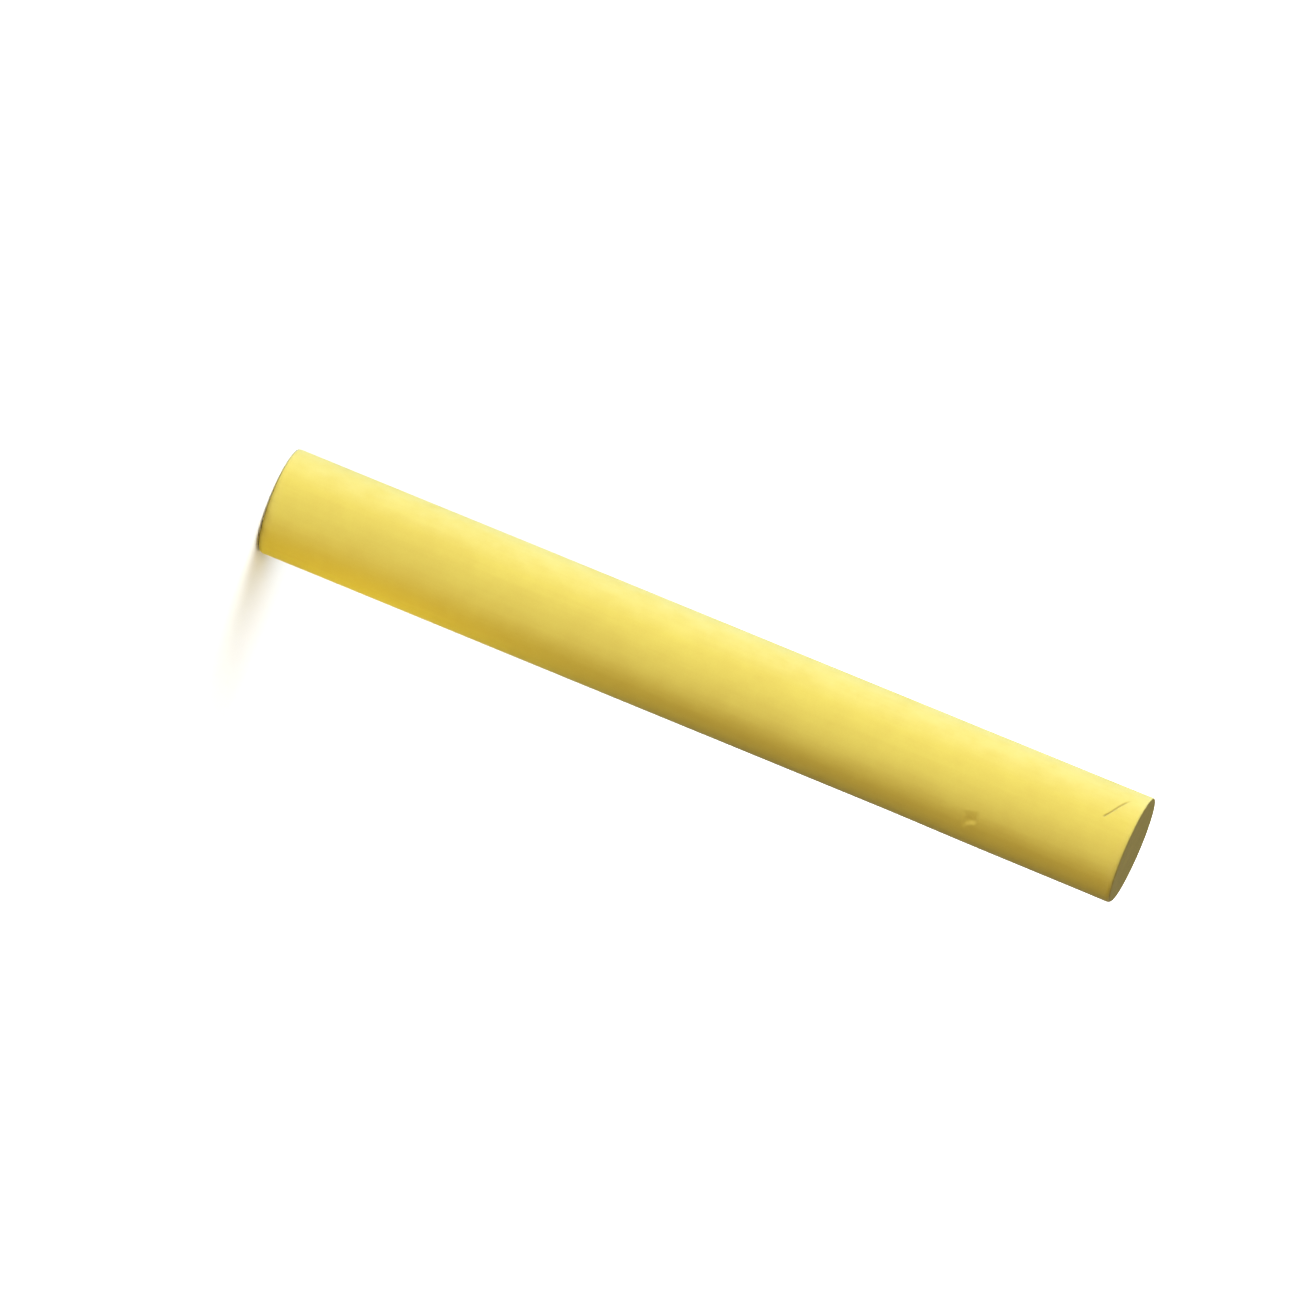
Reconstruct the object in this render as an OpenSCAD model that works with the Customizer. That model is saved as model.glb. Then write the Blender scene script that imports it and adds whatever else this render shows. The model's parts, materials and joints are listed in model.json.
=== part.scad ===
// Stick of blackboard chalk, cast in a tapered mould and worn at its rims.
// It stands on its narrow end, with its axis along +Z.
// Places round the stick are angles from +X, counted towards +Y.

/* [Stick] */
// Length along the axis, from the narrow face to the middle of the wide face
stick_length = 81; // [50:0.5:100]
// Diameter at the wide end, where the mould was filled
wide_d = 9.85; // [8.5:0.05:12]
// Diameter at the narrow end, smaller by the draft of the mould
narrow_d = 9.65; // [8.5:0.05:12]

/* [Ends] */
// Radius of the moulded edge round the narrow end
narrow_edge_r = 0.2; // [0.1:0.01:0.6]
// Angle by which the struck-off wide face is out of square
face_tilt = 1; // [0:0.25:3]
// Side of the stick at which the wide face is lowest
face_low_at = 0; // [-180:5:180]

/* [Rim wear] */
// Radius rubbed onto the worn side of the wide rim
wide_wear_r = 0.55; // [0.3:0.05:1.2]
// Side of the stick at which the wide rim is most worn
wide_wear_at = -35; // [-180:5:180]
// Distance by which that wear draws back on the far side of the rim
wide_wear_fade = 0.2; // [0.05:0.01:0.6]
// Radius rubbed onto the worn side of the narrow rim
narrow_wear_r = 1; // [0.3:0.05:1.5]
// Side of the stick at which the narrow rim is most worn
narrow_wear_at = -55; // [-180:5:180]
// Distance by which that wear draws back on the far side of the rim
narrow_wear_fade = 0.9; // [0.05:0.01:1.2]

/* [Pit] */
// Width of the broken-out pit
pit_w = 1.2; // [0.6:0.1:2.5]
// Depth of the pit
pit_depth = 0.3; // [0.1:0.05:0.6]
// Distance of the pit from the wide end
pit_from_end = 13.4; // [4:0.2:40]
// Side of the stick that has the pit
pit_at = -57; // [-180:1:180]
// Width of the shallow lip that runs out from the pit
lip_w = 0.9; // [0.4:0.1:2]
// Depth of the lip
lip_depth = 0.14; // [0.05:0.01:0.4]
// Distance of the lip from the pit, along the stick
lip_along = 0.35; // [0:0.05:1.5]
// Distance of the lip from the pit, round the stick
lip_round = 0.6; // [0:0.05:1.5]

/* [Scratch] */
// Width of the tool mark that cut the scratch
scratch_w = 0.24; // [0.1:0.02:0.6]
// Depth of the scratch at its middle
scratch_depth = 0.1; // [0.04:0.01:0.3]
// Radius of the arc that the scratch's floor follows, which sets how soon it runs out
scratch_arc_r = 13.5; // [11:0.5:60]
// Angle of the scratch to the stick's girth
scratch_slope = 30; // [0:1:40]
// Distance of the scratch's middle from the wide end
scratch_from_end = 2; // [1.5:0.1:40]
// Side of the stick that has the scratch
scratch_at = -128; // [-180:1:180]

/* [Dent] */
// Width of the shallow dent pressed into the side
dent_w = 1.7; // [0.5:0.1:4]
// Depth of the dent
dent_depth = 0.06; // [0.02:0.01:0.3]
// Distance of the dent from the wide end
dent_from_end = 9.7; // [4:0.1:40]
// Side of the stick that has the dent
dent_at = -158; // [-180:1:180]

/* [Hidden] */
chalk_colour = "#f2dd72";
// How far a cutter reaches past the surface that it trims
overcut = 0.02;
// How far the casting stands above the wide face before it is struck off
fill_h = 1;
// Thickness of the ring that carries a rim's wear, outside the stick
ring_wall = 1;
arc_steps = 10;
ring_steps = 96;
cut_steps = 48;
cast_h = stick_length + fill_h;

// Radius of the tapered side at a height above the narrow face
function side_r(h) = (narrow_d + (wide_d - narrow_d) * h / stick_length) / 2;

// Points of an arc about a centre, between two angles
function arc(centre, r, from, to) =
    [for (i = [0:arc_steps]) let (a = from + (to - from) * i / arc_steps) centre + r * [cos(a), sin(a)]];

// Radius of the ball that leaves a hollow of one width and depth in a flat surface
function ball_r(w, depth) = (w * w / 4 + depth * depth) / (2 * depth);

// The casting as it leaves the mould, round at its foot and overfull at its top
module casting() {
    foot_r = narrow_d / 2;
    foot_edge = arc([foot_r - narrow_edge_r, narrow_edge_r], narrow_edge_r, -90, 0);
    rotate_extrude($fn = ring_steps)
        polygon(concat([[0, 0]], foot_edge, [[side_r(cast_h), cast_h], [0, cast_h]]));
}

// Places what follows at the middle of the wide face, square to it and with +Z outwards
module at_wide_face() {
    translate([0, 0, stick_length])
        rotate([0, 0, face_low_at])
            rotate([0, face_tilt, 0])
                rotate([0, 0, -face_low_at])
                    children();
}

// What is struck off above the wide face
module strike_off() {
    at_wide_face()
        cylinder(h = 2 * fill_h, r = wide_d, $fn = ring_steps);
}

// The chalk lost from a rim that lies in the plane z = 0, with the stick above it
module lost_rim(rim_r, wear_r, wear_at, fade) {
    ring_r = rim_r + overcut + fade;
    outer_r = ring_r + fade + ring_wall;
    inner_r = ring_r - wear_r;
    ring_top = wear_r - overcut;
    worn_edge = arc([inner_r, ring_top], wear_r, -90, 0);
    rotate([0, 0, wear_at])
        translate([-fade, 0, 0])
            rotate_extrude($fn = ring_steps)
                polygon(concat(worn_edge, [[outer_r, ring_top], [outer_r, -ring_wall], [inner_r, -ring_wall]]));
}

// Places what follows on the side, at a distance from the wide end, with +X outwards
module on_side(from_end, at) {
    rotate([0, 0, at])
        translate([side_r(stick_length - from_end), 0, stick_length - from_end])
            children();
}

// A ball that leaves a round hollow in the side
module hollow(w, depth, from_end, at) {
    on_side(from_end, at)
        translate([ball_r(w, depth) - depth, 0, 0])
            sphere(r = ball_r(w, depth), $fn = cut_steps);
}

// The pit, with the shallow lip on its low side
module pit() {
    lip_turn = lip_round / side_r(stick_length - pit_from_end) * 180 / PI;
    hollow(pit_w, pit_depth, pit_from_end, pit_at);
    hollow(lip_w, lip_depth, pit_from_end - lip_along, pit_at + lip_turn);
}

// A thin ring that dips into the side, so that the scratch runs out at both its ends
module scratch() {
    cut_r = scratch_w / 2;
    on_side(scratch_from_end, scratch_at)
        rotate([-scratch_slope, 0, 0])
            translate([-scratch_depth - scratch_arc_r, 0, 0])
                rotate_extrude($fn = 2 * ring_steps)
                    translate([scratch_arc_r + cut_r, 0])
                        circle(r = cut_r, $fn = cut_steps);
}

module chalk_stick() {
    color(chalk_colour)
        difference() {
            casting();
            strike_off();
            at_wide_face()
                mirror([0, 0, 1])
                    lost_rim(wide_d / 2, wide_wear_r, wide_wear_at, wide_wear_fade);
            lost_rim(narrow_d / 2, narrow_wear_r, narrow_wear_at, narrow_wear_fade);
            pit();
            scratch();
            hollow(dent_w, dent_depth, dent_from_end, dent_at);
        }
}

chalk_stick();
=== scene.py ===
import json
import math

import bmesh
import bpy
from mathutils import Euler, Matrix, Vector, noise

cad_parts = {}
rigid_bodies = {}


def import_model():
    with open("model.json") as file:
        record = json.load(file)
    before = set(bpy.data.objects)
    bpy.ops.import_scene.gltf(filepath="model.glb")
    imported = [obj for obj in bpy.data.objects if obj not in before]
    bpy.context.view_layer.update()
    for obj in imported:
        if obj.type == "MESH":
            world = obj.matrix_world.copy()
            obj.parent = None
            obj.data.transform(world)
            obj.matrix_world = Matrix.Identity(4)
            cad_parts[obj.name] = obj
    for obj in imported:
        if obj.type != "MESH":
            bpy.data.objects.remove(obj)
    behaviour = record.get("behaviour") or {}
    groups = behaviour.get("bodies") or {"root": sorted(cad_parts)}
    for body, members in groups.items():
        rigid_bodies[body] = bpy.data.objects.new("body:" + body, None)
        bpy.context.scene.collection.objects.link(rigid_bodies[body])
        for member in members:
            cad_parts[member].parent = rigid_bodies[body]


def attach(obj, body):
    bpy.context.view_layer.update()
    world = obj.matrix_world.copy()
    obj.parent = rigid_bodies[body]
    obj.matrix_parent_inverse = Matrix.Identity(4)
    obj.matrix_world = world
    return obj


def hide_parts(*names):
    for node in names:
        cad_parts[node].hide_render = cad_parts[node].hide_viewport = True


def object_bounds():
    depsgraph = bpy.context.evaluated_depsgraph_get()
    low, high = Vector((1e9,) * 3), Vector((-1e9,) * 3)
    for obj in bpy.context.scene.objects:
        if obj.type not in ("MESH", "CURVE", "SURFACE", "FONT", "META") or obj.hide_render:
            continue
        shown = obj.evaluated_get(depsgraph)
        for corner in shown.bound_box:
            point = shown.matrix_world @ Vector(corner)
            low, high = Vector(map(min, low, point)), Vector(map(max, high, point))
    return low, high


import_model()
cadLow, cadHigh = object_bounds()  # the CAD box, before anything is added

# The stick stands on its narrow end. A side of it is an angle from +X towards +Y, in degrees:
# the camera stands at -90, the bright side is 180 and the shaded side is 0.

mm = 0.001  # Blender works in metres, and chalk is measured in millimetres


# a hex colour as it shows on screen, turned to the linear one that the shaders take
def linear(hexText):
    channels = [int(hexText[i:i + 2], 16) / 255 for i in (1, 3, 5)]
    return [c / 12.92 if c <= 0.04045 else ((c + 0.055) / 1.055) ** 2.4 for c in channels] + [1.0]


# adds a node: settings are its properties, sockets are values, or links as (node, output name)
def addNode(tree, kind, settings=None, sockets=None):
    node = tree.nodes.new(kind)
    for name, value in (settings or {}).items():
        setattr(node, name, value)
    for name, value in (sockets or {}).items():
        if isinstance(value, tuple) and isinstance(value[0], bpy.types.Node):
            tree.links.new(value[0].outputs[value[1]], node.inputs[name])
        else:
            node.inputs[name].default_value = value
    return node


def newMaterial(name):
    material = bpy.data.materials.new(name)
    material.use_nodes = True
    material.node_tree.nodes.clear()
    return material, material.node_tree


# 0 up to start, 1 from end on, with a soft S between
def ease(start, end, value):
    share = min(1, max(0, (value - start) / (end - start)))
    return share * share * (3 - 2 * share)


# selects the edges or the faces of the piece in edit mode that pass a test
def select(kind, test):
    bpy.ops.mesh.select_mode(type=kind)
    bpy.ops.mesh.select_all(action="DESELECT")
    shape = bmesh.from_edit_mesh(bpy.context.object.data)
    for element in shape.edges if kind == "EDGE" else shape.faces:
        element.select_set(test(element))
    bmesh.update_edit_mesh(bpy.context.object.data)


# a face or a point whose normal is this upright belongs to a face that looks up
def looksUp(element):
    return element.normal.z > 0.9


stick = {
    "wideRadius": (cadHigh.x - cadLow.x) / 2,
    "draft": 0.1 * mm,  # by which the mould's radius is smaller at the foot
    "faceTilt": math.radians(1),  # the struck-off face is lower on the +X side
    "around": 360,  # faces round the stick
    # bands of the side from the narrow end up: where each ends, and how tall its rings are
    "bands": [(1.3, 0.3), (60, 1.0), (65.6, 0.5), (69.2, 0.075), (77.6, 0.25), (80, 0.05), (81, 0.15)],
}
stick["narrowRadius"] = stick["wideRadius"] - stick["draft"]
stick["length"] = stick["bands"][-1][0] * mm

rims = {
    # rounding on the crisp side and on the worn side, which side is worn, and how gathered the wear is
    "wide": {"crisp": 0.1 * mm, "worn": 0.45 * mm, "wornAt": -55, "gather": 3},
    "narrow": {"crisp": 0.2 * mm, "worn": 1.0 * mm, "wornAt": -55, "gather": 3},
    "segments": 9,
    "nibble": 0.16,  # share by which the rounding wanders along a rim
    "nibbleSize": 0.8 * mm,
    # rubbed pale from this share of the rounding on, and faded out this far past it
    "rubbedFrom": 0.5,
    "rubbedFade": 0.6 * mm,
    # rings keep the ends flat beside the rounding: the size of each as a share of the one outside it
    "flatRings": [0.98, 0.94, 0.85, 0.6],
}


# the sharp corner that a rim would have on the same side as a point
def rimCorner(rimName, point):
    wide = rimName == "wide"
    radius = stick["wideRadius"] if wide else stick["narrowRadius"]
    corner = point.copy()
    corner.xy = point.xy.normalized() * radius
    corner.z = stick["length"] - corner.x * math.tan(stick["faceTilt"]) if wide else 0
    return corner


# how round a rim is at a corner
def rimRounding(rimName, corner):
    rim = rims[rimName]
    turn = math.atan2(corner.y, corner.x) - math.radians(rim["wornAt"])
    worn = ((1 + math.cos(turn)) / 2) ** rim["gather"]
    rounding = rim["crisp"] + (rim["worn"] - rim["crisp"]) * worn
    return rounding * (1 + rims["nibble"] * noise.noise(corner / rims["nibbleSize"]))


# the flat end face of the wide or of the narrow end, while it is one face with many sides
def isEnd(face, isWide):
    return len(face.verts) == stick["around"] and (face.normal.z > 0) == isWide


# bevels a rim as round as its worn side, then draws the rounding back to the corner where it is crisp
def roundRim(piece, rimName):
    worn = rims[rimName]["worn"]
    reach = worn * 1.01  # a little over, so that the outermost points of the bevel count too
    select("FACE", lambda face: isEnd(face, rimName == "wide"))
    bpy.ops.mesh.region_to_loop()
    bpy.ops.mesh.bevel(offset=worn, segments=rims["segments"], clamp_overlap=False)
    shape = bmesh.from_edit_mesh(piece.data)
    for vert in shape.verts:
        corner = rimCorner(rimName, vert.co)
        if (vert.co - corner).length < reach:
            vert.co = corner + (vert.co - corner) * rimRounding(rimName, corner) / worn
    bmesh.update_edit_mesh(piece.data)


# draws flat rings on an end, and closes it at its middle
def ringEnd(isWide):
    centre = (0, 0, stick["length"] if isWide else 0)
    select("FACE", lambda face: isEnd(face, isWide))
    for share in rims["flatRings"]:
        bpy.ops.mesh.extrude_region()
        bpy.ops.transform.resize(value=(share, share, share), center_override=centre)
    bpy.ops.mesh.poke()


# cuts the side between two heights into rings
def cutBand(low, high, height):
    slack = 0.01 * mm
    tallest = 0.2 * mm  # the facets of the roundings are lower than this

    def isUpright(edge):
        bottom, top = sorted((vert.co for vert in edge.verts), key=lambda co: co.z)
        inside = bottom.z > low - slack and top.z < high + slack
        return inside and top.z - bottom.z > tallest and (top.xy - bottom.xy).length < slack

    select("EDGE", isUpright)
    bpy.ops.mesh.subdivide(number_cuts=max(1, round((high - low) / height) - 1))


def castStick():
    bpy.ops.object.select_all(action="DESELECT")
    bpy.ops.mesh.primitive_cylinder_add(vertices=stick["around"], radius=stick["narrowRadius"],
                                        depth=stick["length"], end_fill_type="NGON",
                                        location=(0, 0, stick["length"] / 2))
    piece = bpy.context.object
    piece.name = "chalkStick"
    bpy.ops.object.transform_apply(location=True, rotation=False, scale=False)

    # the draft of the mould
    wideCentre = (0, 0, stick["length"])
    growth = stick["wideRadius"] / stick["narrowRadius"]
    bpy.ops.object.mode_set(mode="EDIT")
    select("FACE", looksUp)
    bpy.ops.transform.resize(value=(growth, growth, 1), center_override=wideCentre)

    # bands, each cut into rings as fine as its marks need
    bandEnds = [end * mm for end, height in stick["bands"]]
    ringHeights = [height * mm for end, height in stick["bands"]]
    for end in bandEnds[:-1]:
        bpy.ops.mesh.select_all(action="SELECT")
        bpy.ops.mesh.bisect(plane_co=(0, 0, end), plane_no=(0, 0, 1))
    for low, high, height in list(zip(bandEnds, bandEnds[1:], ringHeights[1:]))[:-1]:
        cutBand(low, high, height)

    # the wide face is struck off out of square, and both rims are rounded
    select("FACE", looksUp)
    bpy.ops.transform.rotate(value=-stick["faceTilt"], orient_axis="Y", center_override=wideCentre)
    roundRim(piece, "wide")
    roundRim(piece, "narrow")

    # the bands beside the roundings, and the flat ends
    cutBand(0, bandEnds[0], ringHeights[0])
    cutBand(bandEnds[-2], bandEnds[-1] + stick["draft"], ringHeights[-1])
    ringEnd(True)
    ringEnd(False)
    bpy.ops.mesh.select_all(action="SELECT")
    bpy.ops.mesh.normals_make_consistent(inside=False)
    bpy.ops.object.mode_set(mode="OBJECT")
    return piece


chalkStick = castStick()
print("cast stick:", len(chalkStick.data.vertices), "vertices")


# marks on the side: which side, how high, and how deep at the deepest
pit = {
    "side": -57, "height": 67.4 * mm, "depth": 0.2 * mm,
    "turn": math.radians(17),  # its length is turned this far out of the stick's girth
    "floor": (-0.65 * mm, 0.6 * mm),  # along its length the floor slopes in from the bright side
    "wall": (0.2 * mm, 0.8 * mm),  # and the wall rises on the shaded side
    "shelf": 1.1 * mm,  # towards the foot the wall shelves off over this much more
    "shelfStart": 0.15,  # and starts earlier by this share of it
    # how far it reaches towards the face and the foot, at the start of the floor and from half way on
    "faceReach": (1.15 * mm, 0.5 * mm),
    "footReach": (0.75 * mm, 1.0 * mm),
    "drift": 0.2 * mm,  # half way it lies nearer to the face by this much
    "softEdge": 0.45,  # share of its reach at which the sides of the floor start to rise
    "rough": 0.15,  # the chalk broke there, so the floor is lumpy by this share of its depth
    "lump": 0.32 * mm,
}
scratch = {
    "side": -127.5, "height": 78.94 * mm, "depth": 0.16 * mm,
    "length": 3.35 * mm, "width": 0.22 * mm,
    "slope": math.radians(-30.6),
    "waver": 0.05 * mm,  # it swings to both sides of a straight line
    "bluntRun": 0.25 * mm,  # the tool went in over this length
    "fadeRun": 1.2 * mm,  # and came out over this one
    "soil": 1.5,  # how far the painted shade covers the groove, where 1 covers only its deepest line in full
}
dents = [
    {"side": -157.5, "height": 71.2 * mm, "depth": 0.05 * mm, "radius": 0.9 * mm},
    {"side": -106, "height": 56.2 * mm, "depth": 0.02 * mm, "radius": 0.7 * mm},
    # the casting shrank a little here, so the shaded side is very slightly hollow along its middle
    {"side": 0, "height": 50 * mm, "depth": 0.1 * mm, "radius": 9 * mm, "tall": 2.5},
]
# the mould and the drying leave the side very slightly uneven
unevenness = {
    "wave": 0.02 * mm,
    "waveSize": 9 * mm,
    "ripple": 0.006 * mm,
    "rippleSize": 2.2 * mm,
    "setsIn": (0.5 * mm, 3 * mm),  # over this distance from each end
}


# how far a point is from a mark's middle, round the stick and along it
def unrolled(mark, point):
    turn = math.atan2(point.y, point.x) - math.radians(mark["side"])
    turn = (turn + math.pi) % (2 * math.pi) - math.pi
    return turn * stick["wideRadius"], point.z - mark["height"]


def pitShare(point):
    around, along = unrolled(pit, point)
    run = around * math.cos(pit["turn"]) + along * math.sin(pit["turn"])
    across = along * math.cos(pit["turn"]) - around * math.sin(pit["turn"])
    start, deepest = pit["floor"]
    wallFoot, wallTop = pit["wall"]
    if run < start or run > wallTop + pit["shelf"]:
        return 0
    onward = min(1, (run - start) / (wallTop - start))
    across -= pit["drift"] * math.sin(math.pi * onward)
    early, late = pit["faceReach"] if across > 0 else pit["footReach"]
    outwards = abs(across) / (late + (early - late) * max(0, 1 - 2 * onward))
    floor = min(1, (run - start) / (deepest - start)) * (1 - ease(pit["softEdge"], 1, outwards))
    shelf = pit["shelf"] * ease(0, 1, outwards) if across < 0 else 0
    wall = 1 - ease(wallFoot - pit["shelfStart"] * shelf, wallTop + shelf, run)
    lumps = 1 - pit["rough"] * (0.5 + noise.noise(point / pit["lump"]))
    return max(0, floor * wall * lumps)


def scratchShare(point):
    around, along = unrolled(scratch, point)
    cosine, sine = math.cos(scratch["slope"]), math.sin(scratch["slope"])
    run = around * cosine + along * sine
    across = along * cosine - around * sine
    half = scratch["length"] / 2
    if abs(run) > half:
        return 0
    across -= scratch["waver"] * math.sin(math.pi * run / half)
    groove = max(0, 1 - abs(across) / (scratch["width"] / 2))
    comeOut = ease(-half, -half + scratch["fadeRun"], run)
    goIn = 1 - ease(half - scratch["bluntRun"], half, run)
    return groove * comeOut * goIn


def dentShare(dent, point):
    around, along = unrolled(dent, point)
    distance = math.hypot(around, along / dent.get("tall", 1)) / dent["radius"]
    return (1 - distance * distance) ** 2 if distance < 1 else 0


# presses a mark in: its shape is a vertex group, and a Displace modifier pushes that group inwards
def pressIn(piece, name, depth, shareAt):
    group = piece.vertex_groups.new(name=name)
    for vert in piece.data.vertices:
        share = shareAt(vert.co)
        if share > 0:
            group.add([vert.index], share, "REPLACE")
    press = piece.modifiers.new(name, "DISPLACE")
    press.vertex_group = name
    press.strength = -depth
    press.mid_level = 0
    bpy.ops.object.modifier_apply(modifier=press.name)


# lets the side wander inwards, never outwards, in lumps of one size
def rollUneven(piece, name, depth, size):
    lumps = bpy.data.textures.new(name, "CLOUDS")
    lumps.noise_scale = size
    lumps.noise_depth = 1
    roll = piece.modifiers.new(name, "DISPLACE")
    roll.texture = lumps
    roll.texture_coords = "LOCAL"
    roll.vertex_group = "side"
    roll.strength = depth
    roll.mid_level = 1
    bpy.ops.object.modifier_apply(modifier=roll.name)


def markStick(piece):
    side = piece.vertex_groups.new(name="side")
    for vert in piece.data.vertices:
        fromEnd = min(vert.co.z, stick["length"] - vert.co.z)
        side.add([vert.index], ease(*unevenness["setsIn"], fromEnd), "REPLACE")
    for name in ("wave", "ripple"):
        rollUneven(piece, name, unevenness[name], unevenness[name + "Size"])
    pressIn(piece, "pit", pit["depth"], pitShare)
    pressIn(piece, "scratch", scratch["depth"], scratchShare)
    for i, dent in enumerate(dents):
        pressIn(piece, "dent%d" % i, dent["depth"], lambda point: dentShare(dent, point))


# keeps three values on the mesh for the material: where it is rubbed, where it is struck off, and where
# the scratch gets painted shade
def noteWear(piece):
    names = ("rubbed", "raw", "soiled")
    for name in names:
        piece.data.attributes.new(name, "FLOAT", "POINT")
    rubbed, raw, soiled = (piece.data.attributes[name].data for name in names)
    for vert in piece.data.vertices:
        point = vert.co
        rimName = "wide" if point.z > stick["length"] / 2 else "narrow"
        corner = rimCorner(rimName, point)
        rounding = rimRounding(rimName, corner)
        distance = (point - corner).length
        start, end = rims["rubbedFrom"] * rounding, rounding + rims["rubbedFade"]
        rubbed[vert.index].value = 1 - ease(start, end, distance)
        raw[vert.index].value = 1 if rimName == "wide" and looksUp(vert) else 0
        soiled[vert.index].value = min(1, scratch["soil"] * scratchShare(point))


markStick(chalkStick)
noteWear(chalkStick)
chalkStick.vertex_groups.clear()
bpy.ops.object.select_all(action="DESELECT")
chalkStick.select_set(True)
bpy.ops.object.shade_smooth_by_angle(angle=math.radians(40))
print("marked stick:", sum(len(face.vertices) - 2 for face in chalkStick.data.polygons), "triangles")


# Gypsum plaster cast with yellow pigment. It is one pale opaque yellow all through, quite matt, with
# a powder on it that turns paler where light grazes it and where hands have rubbed it. Its colour also
# holds painted light: a painted highlight along the bright side, and painted shade on the struck-off
# face and in the scratch.
chalk = {
    "pale": "#f9e954",
    "deep": "#f3df46",
    # the powder's colour: real dust on the rubbed rims, and a painted highlight along the bright side
    "dustAndHighlightColour": "#fdf4b0",
    "rubbedShare": 0.1,  # how much dust the rubbed rims hold
    "paintedHighlightShare": 0.78,  # and the painted highlight along the bright side, where the light falls
    "paintedHighlight": (-2.0 * mm, -4.9 * mm),  # over which part of the width it sets in
    "raw": ("#e4ca5a", "#f0d664"),  # the struck-off face, deep and pale: its own colour, darkened partly by painted shade
    "grooveShadeColour": "#bfa810",  # painted shade in the scratch's groove
    # patterns: the size of the lumps, their detail, and the share of each in how pale the yellow is
    "patterns": {
        "cloud": (11 * mm, 3, 0.35),  # where the pigment was mixed a little unevenly
        "patch": (1.8 * mm, 3, 0.3),  # thicker and thinner powder
        "streak": (0.45 * mm, 2, 0.2),  # lines that the mould drew along the side
        "grain": (0.16 * mm, 2, 0.15),  # crystals are 0.05 mm, drawn three times as coarse to show
    },
    "patternRoughness": 0.55,
    "streakRun": 40,  # the lines are this many times as long as wide
    "spread": (0.38, 0.62),  # the sum of the patterns at which the yellow is deepest and palest
    "grainDepth": 0.004 * mm,
    "roughness": (0.8, 0.95),
    "ior": 1.52,  # gypsum
    "gloss": 0.05,  # it is porous, so hardly any light comes straight off it
    # on the moulded side and on the struck-off face: the veil of fine powder, and how strongly the
    # grain throws light back to where it came from
    "powder": (0.4, 0.03),
    "throwBack": (0.6, 0.0),
}


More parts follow.
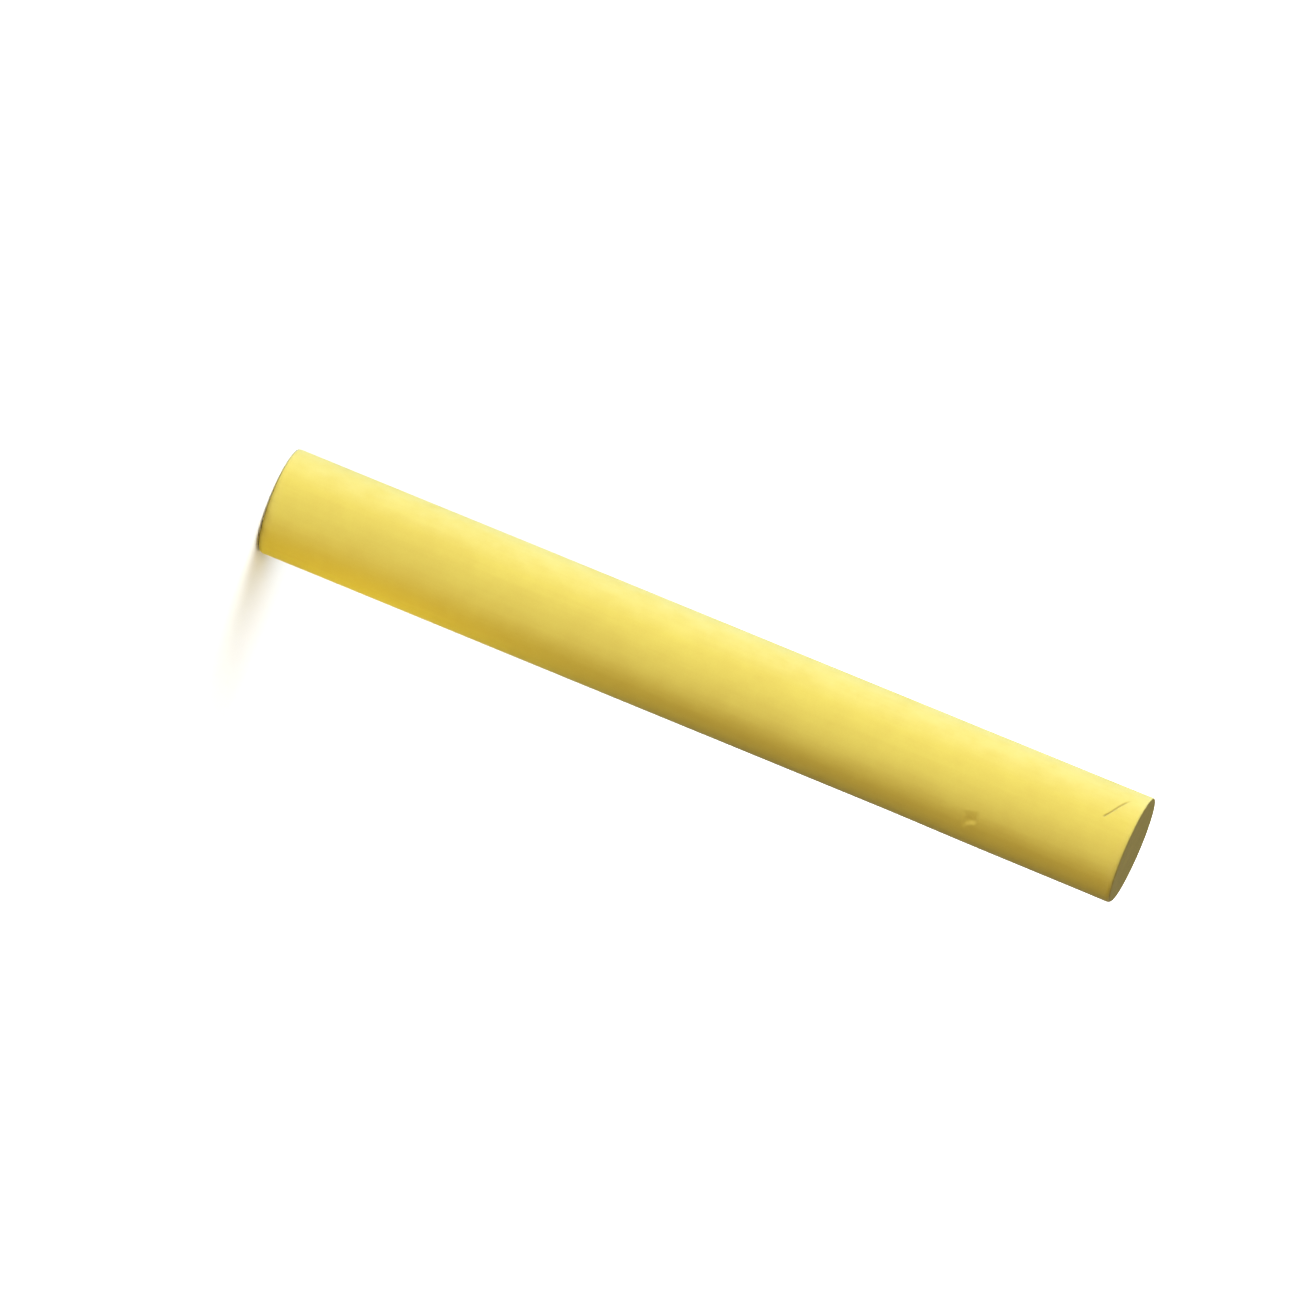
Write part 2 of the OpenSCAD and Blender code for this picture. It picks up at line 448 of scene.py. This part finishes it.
def castChalk():
    material, tree = newMaterial("castChalk")
    place = addNode(tree, "ShaderNodeTexCoord")
    drawn = addNode(tree, "ShaderNodeMapping", None,
                    {"Vector": (place, "Object"), "Scale": (1, 1, 1 / chalk["streakRun"])})

    # how pale the yellow is: the patterns are added up, each with its own share
    patterns = {}
    total = None
    for name, (size, detail, share) in chalk["patterns"].items():
        source = (drawn, "Vector") if name == "streak" else (place, "Object")
        patterns[name] = addNode(tree, "ShaderNodeTexNoise", None,
                                 {"Vector": source, "Scale": 1 / size, "Detail": detail,
                                  "Roughness": chalk["patternRoughness"]})
        total = addNode(tree, "ShaderNodeMath", {"operation": "MULTIPLY_ADD"},
                        {0: (patterns[name], "Fac"), 1: share, 2: (total, "Value") if total else 0.0})
    patch, grain = patterns["patch"], patterns["grain"]
    deepest, palest = chalk["spread"]
    paleness = addNode(tree, "ShaderNodeMapRange", None,
                       {"Value": (total, "Value"), "From Min": deepest, "From Max": palest})
    yellow = addNode(tree, "ShaderNodeMix", {"data_type": "RGBA"},
                     {0: (paleness, "Result"), 6: linear(chalk["deep"]), 7: linear(chalk["pale"])})

    # dust on the rubbed places and a painted highlight along the bright side, uneven like the powder
    # itself, then the struck-off face, darkened partly by painted shade, and painted shade in the
    # scratch
    rubbed = addNode(tree, "ShaderNodeAttribute", {"attribute_name": "rubbed"})
    split = addNode(tree, "ShaderNodeSeparateXYZ", None, {"Vector": (place, "Object")})
    setIn, full = chalk["paintedHighlight"]
    paintedHighlight = addNode(tree, "ShaderNodeMapRange", None,
                   {"Value": (split, "X"), "From Min": setIn, "From Max": full,
                    "To Max": chalk["paintedHighlightShare"]})
    dustAndHighlightShare = addNode(tree, "ShaderNodeMath", {"operation": "MULTIPLY_ADD"},
                   {0: (rubbed, "Fac"), 1: chalk["rubbedShare"], 2: (paintedHighlight, "Result")})
    unevenDustAndHighlight = addNode(tree, "ShaderNodeMath", {"operation": "MULTIPLY"},
                    {0: (dustAndHighlightShare, "Value"), 1: (patch, "Fac")})
    dustedAndHighlighted = addNode(tree, "ShaderNodeMix", {"data_type": "RGBA"},
                     {0: (unevenDustAndHighlight, "Value"), 6: (yellow, "Result"), 7: linear(chalk["dustAndHighlightColour"])})
    raw = addNode(tree, "ShaderNodeAttribute", {"attribute_name": "raw"})
    # the struck-off face's colour holds painted shade as well as its own tone
    deepRawShaded, paleRawShaded = chalk["raw"]
    face = addNode(tree, "ShaderNodeMix", {"data_type": "RGBA"},
                   {0: (paleness, "Result"), 6: linear(deepRawShaded), 7: linear(paleRawShaded)})
    ended = addNode(tree, "ShaderNodeMix", {"data_type": "RGBA"},
                    {0: (raw, "Fac"), 6: (dustedAndHighlighted, "Result"), 7: (face, "Result")})
    # painted shade in the scratch's groove
    soiled = addNode(tree, "ShaderNodeAttribute", {"attribute_name": "soiled"})
    shown = addNode(tree, "ShaderNodeMix", {"data_type": "RGBA"},
                    {0: (soiled, "Fac"), 6: (ended, "Result"), 7: linear(chalk["grooveShadeColour"])})

    # height of the surface in metres
    height = addNode(tree, "ShaderNodeMath", {"operation": "MULTIPLY"},
                     {0: (grain, "Fac"), 1: chalk["grainDepth"]})
    bump = addNode(tree, "ShaderNodeBump", None, {"Height": (height, "Value"), "Distance": 1.0})

    dull, duller = chalk["roughness"]
    matt = addNode(tree, "ShaderNodeMapRange", None,
                   {"Value": (grain, "Fac"), "To Min": dull, "To Max": duller})
    onSide, onFace = chalk["powder"]
    powder = addNode(tree, "ShaderNodeMapRange", None,
                     {"Value": (raw, "Fac"), "To Min": onSide, "To Max": onFace})
    onSide, onFace = chalk["throwBack"]
    throwBack = addNode(tree, "ShaderNodeMapRange", None,
                        {"Value": (raw, "Fac"), "To Min": onSide, "To Max": onFace})
    surface = addNode(tree, "ShaderNodeBsdfPrincipled", None,
                      {"Base Color": (shown, "Result"), "Roughness": (matt, "Result"),
                       "Normal": (bump, "Normal"), "IOR": chalk["ior"],
                       "Specular IOR Level": chalk["gloss"],
                       "Diffuse Roughness": (throwBack, "Result"),
                       "Sheen Weight": (powder, "Result"), "Sheen Roughness": 1.0})
    addNode(tree, "ShaderNodeOutputMaterial", None, {"Surface": (surface, "BSDF")})
    return material


chalkStick.data.materials.append(castChalk())
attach(chalkStick, "root")
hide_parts("chalk_stick")
print("material: castChalk")


studio = {
    "floorSize": 12.0,
    # the floor is white to the camera, and grey to the rays that light the stick
    "floorColour": "#ffffff",
    "floorBounce": "#696860",
    # it glows by these shares near the stick and far off, where the lamp over it fades
    "glow": (0.0, 1.0),
    "glowRun": (0.12, 0.4),
    "ambient": 0.005,
    "ambientColour": "#fff4e0",
}
aim = Vector((0.1, 0, 36.09)) * mm

# softboxes: the side and the rise that each stands at, how far off, how wide and high, the share of
# its written colour that a face square to the box shows, and the colour of its light
softboxes = {
    "key": {"side": -140, "rise": 6, "distance": 1.2, "size": (0.5, 0.5), "level": 0.775,
            "colour": "#ebffff"},
    "edge": {"side": -185, "rise": 6, "distance": 1.2, "size": (0.5, 0.5), "level": 0.285,
             "colour": "#e4f3ff"},
    "fill": {"side": -95, "rise": 6, "distance": 1.2, "size": (0.5, 0.5), "level": 0.552,
             "colour": "#ffe298"},
    "back": {"side": 76, "rise": 6, "distance": 1.2, "size": (0.5, 0.5), "level": 0.8,
             "colour": "#fffaf0"},
    # this one hangs over the floor for the soft shadow at the foot, and does not light the stick
    "over": {"side": -140, "rise": 70, "distance": 1.2, "size": (0.9, 0.9), "level": 1.3,
             "colour": "#f4f8ff", "lights": "floor"},
    # a small yellow card beside the foot lifts the shade there, and does not light the floor
    "card": {"side": 10, "rise": 0, "distance": 0.03, "size": (0.03, 0.016), "level": 0.3,
             "colour": "#ffe626", "height": 11 * mm, "spread": 110, "lights": "chalkStick"},
}


def hangSoftbox(name, box):
    side, rise = math.radians(box["side"]), math.radians(box["rise"])
    towards = Vector((math.cos(side) * math.cos(rise), math.sin(side) * math.cos(rise), math.sin(rise)))
    light = bpy.data.lights.new(name, "AREA")
    light.shape = "RECTANGLE"
    light.size, light.size_y = box["size"]
    # at this energy and level 1, a face square to the box shows its colour as written
    light.energy = box["level"] * math.pi ** 2 * box["distance"] ** 2
    light.color = linear(box["colour"])[:3]
    light.spread = math.radians(box.get("spread", 180))
    lamp = bpy.data.objects.new(name, light)
    target = Vector((0, 0, box["height"])) if "height" in box else aim
    lamp.location = target + towards * box["distance"]
    lamp.rotation_mode = "QUATERNION"
    lamp.rotation_quaternion = towards.to_track_quat("Z", "Y")
    lamp.visible_camera = False
    bpy.context.collection.objects.link(lamp)
    if "lights" in box:
        lit = bpy.data.collections.new(name)
        lit.objects.link(bpy.data.objects[box["lights"]])
        lamp.light_linking.receiver_collection = lit


# 1 for the rays that should see the plain white studio, 0 for the ones that light the stick
def seenRays(tree):
    path = addNode(tree, "ShaderNodeLightPath")
    seen = addNode(tree, "ShaderNodeMath", {"operation": "MAXIMUM"},
                   {0: (path, "Is Camera Ray"), 1: (path, "Is Glossy Ray")})
    return addNode(tree, "ShaderNodeMath", {"operation": "MAXIMUM"},
                   {0: (seen, "Value"), 1: (path, "Is Transmission Ray")})


def paintedFloor():
    material, tree = newMaterial("paintedFloor")
    place = addNode(tree, "ShaderNodeTexCoord")
    distance = addNode(tree, "ShaderNodeVectorMath", {"operation": "LENGTH"}, {0: (place, "Object")})
    near, far = studio["glow"]
    start, end = studio["glowRun"]
    glow = addNode(tree, "ShaderNodeMapRange", {"interpolation_type": "SMOOTHSTEP"},
                   {"Value": (distance, "Value"), "From Min": start, "From Max": end,
                    "To Min": near, "To Max": far})
    bounce = addNode(tree, "ShaderNodeBsdfDiffuse", None, {"Color": linear(studio["floorBounce"])})
    paint = addNode(tree, "ShaderNodeBsdfDiffuse", None, {"Color": linear(studio["floorColour"])})
    light = addNode(tree, "ShaderNodeEmission", None, {"Strength": (glow, "Result")})
    seen = addNode(tree, "ShaderNodeAddShader", None, {0: (paint, "BSDF"), 1: (light, "Emission")})
    floor = addNode(tree, "ShaderNodeMixShader", None,
                    {0: (seenRays(tree), "Value"), 1: (bounce, "BSDF"), 2: (seen, "Shader")})
    addNode(tree, "ShaderNodeOutputMaterial", None, {"Surface": (floor, "Shader")})
    return material


def whiteStudio():
    bpy.ops.object.select_all(action="DESELECT")
    bpy.ops.mesh.primitive_plane_add(size=studio["floorSize"], location=(0, 0, 0))
    floor = bpy.context.object
    floor.name = "floor"
    floor.data.materials.append(paintedFloor())

    world = bpy.data.worlds.new("studio")
    world.use_nodes = True
    tree = world.node_tree
    tree.nodes.clear()
    soft = addNode(tree, "ShaderNodeBackground", None,
                   {"Color": linear(studio["ambientColour"]), "Strength": studio["ambient"]})
    white = addNode(tree, "ShaderNodeBackground", None, {"Color": linear("#ffffff"), "Strength": 1.0})
    sky = addNode(tree, "ShaderNodeMixShader", None,
                  {0: (seenRays(tree), "Value"), 1: (soft, "Background"), 2: (white, "Background")})
    addNode(tree, "ShaderNodeOutputWorld", None, {"Surface": (sky, "Shader")})
    bpy.context.scene.world = world

    for name, box in softboxes.items():
        hangSoftbox(name, box)


whiteStudio()
print("studio:", len(softboxes), "softboxes")


# a long lens from the front and a little above, rolled so that the wide end points down to the right
camera = {
    "rise": math.radians(9.26),
    "roll": math.radians(112.34),
    "distance": 1300 * mm,
    "lens": 410.8,
    "farthest": 100,  # sees the floor to its end
}


def standCamera():
    rise = camera["rise"]
    eye = bpy.data.cameras.new("camera")
    eye.lens = camera["lens"]
    eye.clip_end = camera["farthest"]
    holder = bpy.data.objects.new("camera", eye)
    holder.location = aim + Vector((0, -math.cos(rise), math.sin(rise))) * camera["distance"]
    holder.rotation_mode = "QUATERNION"
    upright = Euler((math.radians(90) - rise, 0, 0)).to_matrix()
    holder.rotation_quaternion = (upright @ Matrix.Rotation(camera["roll"], 3, "Z")).to_quaternion()
    bpy.context.collection.objects.link(holder)
    bpy.context.scene.camera = holder


standCamera()
bpy.context.scene.view_settings.view_transform = "Standard"
